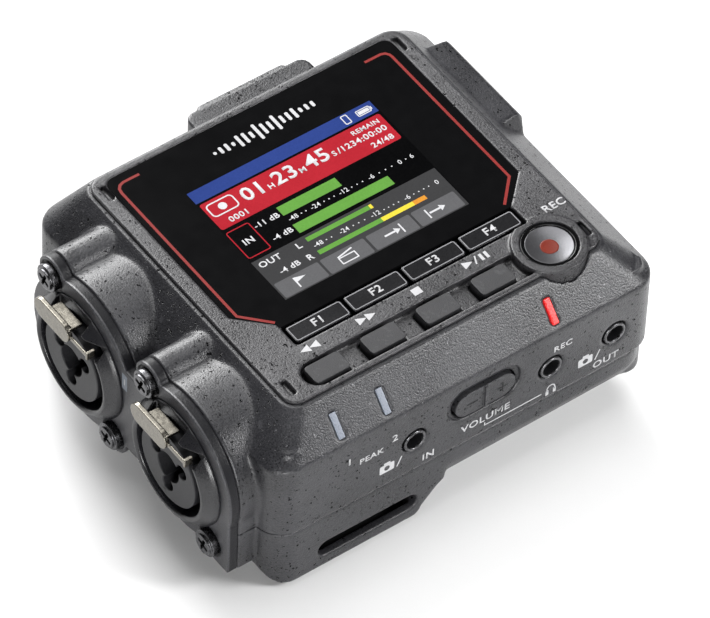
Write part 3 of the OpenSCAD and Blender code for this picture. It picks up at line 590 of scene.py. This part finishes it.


# Dark sheets painted as shade inside the strap slot, where there is only shadow: back, roof, two ends and a
# ledge low at the back
dress(plates("slot_painted_shade", (((-31.8, -36.5, -38.3), (-10.9, -36.32, -32.25)),
                             ((-31.8, -41.4, -32.32), (-10.9, -36.5, -32.2)),
                             ((-31.85, -41.4, -38.3), (-31.7, -36.5, -32.3)),
                             ((-11.0, -41.4, -38.3), (-10.85, -36.5, -32.3)),
                             ((-31.85, -40.2, -38.44), (-10.85, -36.4, -38.24)))),
      MAT["flap"], "case", "case")

KEPT = {"screen_lens": "lens", "lcd_module": "display", "main_board": "board", "key_board": "board",
        "key_switches": "steel", "volume_switches": "steel", "board_posts": "brass", "usb_port": "steel",
        "card_socket": "steel", "adapter_port": "socket", "card_cover_pin": "steel", "tripod_bush": "brass",
        "cell_1": "cell", "cell_2": "cell", "cell_3": "cell", "cell_4": "cell",
        "contacts_plus": "steel", "contacts_minus": "steel"}
for node, material in KEPT.items():
    for place in NODES[node].material_slots:
        place.material = MAT[material]

# ---- Display ----

# Half the lit area's width and height
LIT_X, LIT_Y = 20.32, 15.24
shade = on_lens("lit_ground", "lit_black", 0)
shade.rect(-LIT_X, -LIT_Y, LIT_X, LIT_Y)
shade.done()
areas = {c: on_lens("lit_" + c + "_area", "lit_" + c, 1) for c in ("blue", "red", "green", "dim")}
areas["blue"].rect(-LIT_X, 12.2, 20.1, 15.2)
areas["red"].rect(-20.1, 4.5, 19.7, 11.7, 0.5)
areas["red"].box(-20.1, -3.8, -15.1, 3.6, 0.22, 0.5)
areas["green"].rect(-9.0, 1.2, 3.9, 3.5)
areas["green"].rect(-9.0, -3.8, 12.0, -1.5)
areas["dim"].rect(-LIT_X, -LIT_Y, 20.1, -4.7)
for made in areas.values():
    made.done()
tops = {c: on_lens("lit_" + c + "_top", "lit_" + c, 2) for c in ("green", "yellow", "orange", "key")}
tops["green"].rect(-9.0, -6.3, 4.9, -5.3)
tops["yellow"].rect(4.9, -6.3, 5.5, -5.3)
tops["green"].rect(-9.0, -10.0, 5.0, -9.0)
tops["yellow"].rect(5.0, -10.0, 12.0, -9.0)
tops["orange"].rect(12.0, -10.0, 14.7, -9.0)
for x0 in (-20.0, -10.0, 0.05, 10.0):
    tops["key"].rect(x0, -15.0, x0 + 9.5, -11.1, 0.35)
for made in tops.values():
    made.done()
said = on_lens("lit_words", "lit_white", 3)
said.box(-19.5, 7.6, -13.7, 11.0, 0.28, 0.9)
said.disc(-16.6, 9.3, 0.85)
for text, x, y, h, align in (
        ("01", -10.0, 7.7, 3.0, "CENTER"), ("H", -6.6, 7.7, 1.15, "CENTER"), ("23", -3.1, 7.7, 3.0, "CENTER"),
        ("M", 0.3, 7.7, 1.15, "CENTER"), ("45", 4.0, 7.7, 3.0, "CENTER"), ("S", 7.3, 7.7, 1.15, "CENTER"),
        ("/1234:00:00", 18.9, 7.7, 1.3, "RIGHT"), ("REMAIN", 18.7, 9.8, 1.0, "RIGHT"),
        ("24/48", 18.7, 5.3, 1.2, "RIGHT"),
        ("0001", -17.6, 5.2, 1.25, "LEFT"), ("IN", -17.6, -0.8, 1.35, "CENTER"),
        ("-11 dB", -9.5, 1.4, 1.15, "RIGHT"), ("-4 dB", -9.5, -2.8, 1.15, "RIGHT"),
        ("OUT", -19.6, -6.8, 1.3, "LEFT"), ("L", -11.5, -6.8, 1.3, "LEFT"), ("R", -11.5, -10.1, 1.3, "LEFT"),
        ("-4 dB", -13.0, -9.9, 1.15, "RIGHT")):
    said.words(text, x, y, h, align, bold=0.02, squeeze=1.12)
for text, x in (("-48", -7.8), ("-24", -2.9), ("-12", 3.3), ("-6", 9.4), ("0", 15.8), ("6", 18.4)):
    said.words(text, x, -0.55, 1.0)
for text, x in (("-48", -7.8), ("-24", -2.1), ("-12", 4.8), ("-6", 11.8), ("0", 18.4)):
    said.words(text, x, -8.2, 1.0)
for row, xs in ((-0.1, (-6.0, -5.0, -1.0, 0.1, 1.2, 5.1, 6.3, 7.5, 11.2, 12.6, 14.0, 17.1)),
                (-7.75, (-6.0, -4.9, -0.1, 1.1, 2.4, 6.7, 7.7, 8.8, 9.9, 13.3, 14.4, 15.5, 16.6))):
    for x in xs:
        said.disc(x, row, 0.14, 8)
# Soft-key signs: flag, clapper, arrow in, arrow out
said.rect(-16.4, -14.3, -16.1, -11.8)
said.poly([(-16.1, -13.0), (-14.0, -12.4), (-16.1, -11.8)])
said.box(-7.0, -14.3, -3.4, -12.6, 0.25, 0.15)
said.poly([(-7.0, -12.3), (-3.5, -11.6), (-3.4, -11.9), (-6.9, -12.6)])
for x in (4.8, 14.75):
    said.stroke([(x - 1.8, -13.05), (x + 0.6, -13.05)], 0.4)
    said.poly([(x + 0.5, -13.8), (x + 1.6, -13.05), (x + 0.5, -12.3)])
said.rect(6.6, -14.2, 6.9, -11.9)
said.rect(12.4, -14.2, 12.7, -11.9)
# Status signs: memory card and battery
said.box(13.2, 12.6, 14.6, 14.9, 0.22, 0.3)
said.box(16.2, 12.9, 19.2, 14.4, 0.2, 0.3)
said.rect(16.55, 13.25, 18.85, 14.05)
said.rect(19.25, 13.3, 19.5, 14.0)
said.done()

# Sound-wave sign above the display, a row of plain bars
BARS, BAR_STEP, BAR_HALF, BAR_MIN = 17, 1.35, 0.33, 0.35
BAR_SWING, BAR_RATE, BAR_SPREAD = 1.75, 1.1, 6.5
WAVE_X, WAVE_Y = 0.4, 20.4
wave = on_lens("wave_sign", "white", 0)
for i in range(BARS):
    off = i - (BARS - 1) / 2
    x = WAVE_X + off * BAR_STEP
    half = BAR_MIN + BAR_SWING * abs(math.sin(i * BAR_RATE)) * math.exp(-(off / BAR_SPREAD) ** 2)
    wave.rect(x - BAR_HALF, WAVE_Y - half, x + BAR_HALF, WAVE_Y + half, 0.3)
wave.done()

ACCENT_WIDE = 0.55
accent = on_lens("accent_line", "accent", 1)
accent.stroke([(-24.5, 24.0), (-28.0, 24.0), (-28.9, 23.7), (-29.5, 23.0), (-29.7, 22.0),
               (-29.7, -13.5), (-25.0, -18.5)], ACCENT_WIDE)
accent.stroke([(25.0, 23.3), (28.6, 23.3), (29.4, 23.0), (29.9, 22.3), (30.0, 21.5),
               (30.0, -14.0), (25.2, -19.0)], ACCENT_WIDE)
accent.done()

# ---- Keys ----

F_LEFT, F_WIDE, F_GAP, F_TOP = -24.4, 12.0, 0.6, -0.13
for i in range(4):
    x0 = F_LEFT + i * (F_WIDE + F_GAP)
    body = "f_key_%d" % (i + 1)
    rim = Marks(body + "_rim", "grey", (0, 0, F_TOP), X_AXIS, Y_AXIS, 1, body=body, slot="f_key")
    rim.box(x0 + 0.25, -24.2, x0 + F_WIDE - 0.25, -20.65, 0.2, 0.5)
    rim.done()
    sign = Marks(body + "_sign", "white", (0, 0, F_TOP), X_AXIS, Y_AXIS, 1, body=body, slot="f_key")
    sign.words("F%d" % (i + 1), x0 + F_WIDE / 2, -23.1, 1.65, bold=0.02, squeeze=1.1)
    sign.done()

KEY_SIGN_Y = -26.7
ARROW_LONG, ARROW_HALF = 2.0, 0.85
signs = Marks("deck_signs", "white", (0, 0, PROUD), X_AXIS, Y_AXIS, slot="deck")


def arrow(x, way):
    tip = (x + way * ARROW_LONG, KEY_SIGN_Y)
    signs.poly([(x, KEY_SIGN_Y - ARROW_HALF), tip, (x, KEY_SIGN_Y + ARROW_HALF)][::way])


for x in (-23.4, -21.4):
    arrow(x, -1)
for x in (-13.0, -11.0):
    arrow(x, 1)
signs.rect(-0.9, -27.5, 0.9, -25.9)
arrow(10.3, 1)
signs.stroke([(12.6, -27.6), (13.4, -25.8)], 0.28)
signs.rect(14.0, -27.5, 14.6, -25.9)
signs.rect(15.1, -27.5, 15.7, -25.9)
signs.words("REC", 32.4, -24.8, 1.6, bold=0.02, squeeze=1.1)
signs.done()

# Red dot that follows the dished top of the record button
DISH_R, DISH_TOP, DOT_PROUD, DOT_THICK = 16.0, 15.5, 0.03, 0.05
dot_profile = [(r, DISH_TOP - math.sqrt(DISH_R ** 2 - r * r) + DOT_PROUD) for r in (0.0, 0.6, 1.1, 1.5, 1.72)]
dot_profile += [(r, d - DOT_THICK) for r, d in reversed(dot_profile)]
dress(lathe("record_dot", dot_profile, (26.0, -31.3, 0), 48), INKS["dot"], "record", "silver")

# ---- Thread in the tripod bush ----

THREAD_PITCH, THREAD_ROOT, THREAD_CREST, THREAD_TURNS = 1.27, 3.1, 2.6, 3
THREAD_START, THREAD_SEAT, THREAD_LIP = 0.3, THREAD_ROOT + 0.06, 0.05
THREAD_END = THREAD_START + THREAD_TURNS * THREAD_PITCH
thread = [(THREAD_SEAT, THREAD_START - THREAD_LIP)]
for k in range(THREAD_TURNS):
    thread += [(THREAD_ROOT, THREAD_START + k * THREAD_PITCH),
               (THREAD_CREST, THREAD_START + (k + 0.5) * THREAD_PITCH)]
thread += [(THREAD_ROOT, THREAD_END), (THREAD_SEAT, THREAD_END + THREAD_LIP)]
dress(lathe("tripod_thread_ridges", thread, (-26, -4, -38.4), 48), MAT["brass"], "case", "brass")

# ---- Left side ----

SIDE_Y = Vector((0, -1, 0))


def on_side(name, colour, x, slot="plate"):
    """Marks on a face looking along -X; positions are -y and z."""
    return Marks(name, colour, (x - 0.001, 0, 0), SIDE_Y, Z_AXIS, 1, slot=slot)


tag = on_side("plate_tag", "tag", PLATE_X)
tag.rect(5.3, -14.6, 6.9, -10.6, 0.2)
tag.done()
tag = on_side("plate_tag_number", "white", PLATE_X - 0.012)
tag.words("1", 6.1, -13.3, 1.5, bold=0.02)
tag.done()
for i, y in enumerate(SOCKET_Y):
    pins = on_side("pin_numbers_%d" % (i + 1), "black", CORE_X, slot="core")
    for text, dy, dz in (("1", -3.2, 5.2), ("2", 3.2, 5.2), ("3", 0.9, -6.9)):
        pins.words(text, -(y + dy), SOCKET_Z + dz, 1.0, bold=0.02)
    pins.done()

# ---- Front face ----

front = Marks("front_signs", "white", (0, FRONT_Y - PROUD, 0), X_AXIS, Z_AXIS, slot="case")
for text, x, z, h in (("1", -26.2, -13.9, 1.6), ("2", -16.3, -13.9, 1.6), ("PEAK", -21.4, -15.3, 1.3),
                      ("IN", -8.6, -23.7, 1.6), ("VOLUME", 4.0, -21.9, 1.6), ("REC", 20.8, -13.1, 1.35),
                      ("OUT", 31.0, -23.7, 1.6)):
    front.words(text, x, z, h, bold=0.02, squeeze=1.14)
# Camera signs
for x in (-17.8, 26.3):
    eye = circle(x, -20.35, 0.62, 12)
    front.band(rounded(x - 1.6, -21.4, x + 1.6, -19.3, 0.25, 2), eye[1:] + eye[:1])
    front.rect(x - 0.7, -19.35, x + 0.7, -18.8)
    front.stroke([(x + 2.2, -21.4), (x + 3.2, -19.2)], 0.28)
# Line from the volume label to the headphone sign
LINE_WIDE = 0.26
front.stroke([(3.9, -22.4), (3.9, -23.1), (16.6, -23.1)], LINE_WIDE)
front.stroke([(18.7 + 0.9 * math.cos(math.radians(a)), -22.8 + 0.95 * math.sin(math.radians(a)))
              for a in range(-35, 216, 25)], LINE_WIDE)
front.rect(17.55, -24.2, 18.2, -23.0)
front.rect(19.2, -24.2, 19.85, -23.0)
front.done()

ROCKER_Y = FRONT_Y + 0.135
for kind, x in (("less", 0.9), ("more", 7.6)):
    sign = Marks("rocker_" + kind, "black", (0, ROCKER_Y, 0), X_AXIS, Z_AXIS, 1, body="volume", slot="rocker")
    sign.rect(x - 1.2, -15.3, x + 1.2, -15.0)
    if kind == "more":
        sign.rect(x - 0.15, -14.98, x + 0.15, -13.95)
        sign.rect(x - 0.15, -16.35, x + 0.15, -15.32)
    sign.done()

# Thin rings round the three small sockets
RING = ((1.82, 0.0), (1.82, -0.3), (1.95, -0.42), (2.2, -0.42), (2.38, -0.25), (2.38, 0.0))
RING_Y, RING_Z = FRONT_Y + 0.35, -17.1
for i, x in enumerate((-11.7, 18.5, 32.8), 1):
    ring = lathe("socket_ring_%d" % i, RING, (0, 0, 0), 64)
    ring.data.transform(Matrix.Translation(at(x, RING_Y, RING_Z)) @ Matrix.Rotation(math.radians(-90), 4, "X")
                        @ Matrix.Translation(-at(0, 0, 0)))
    dress(ring, MAT["socket_ring"], "case", "socket")
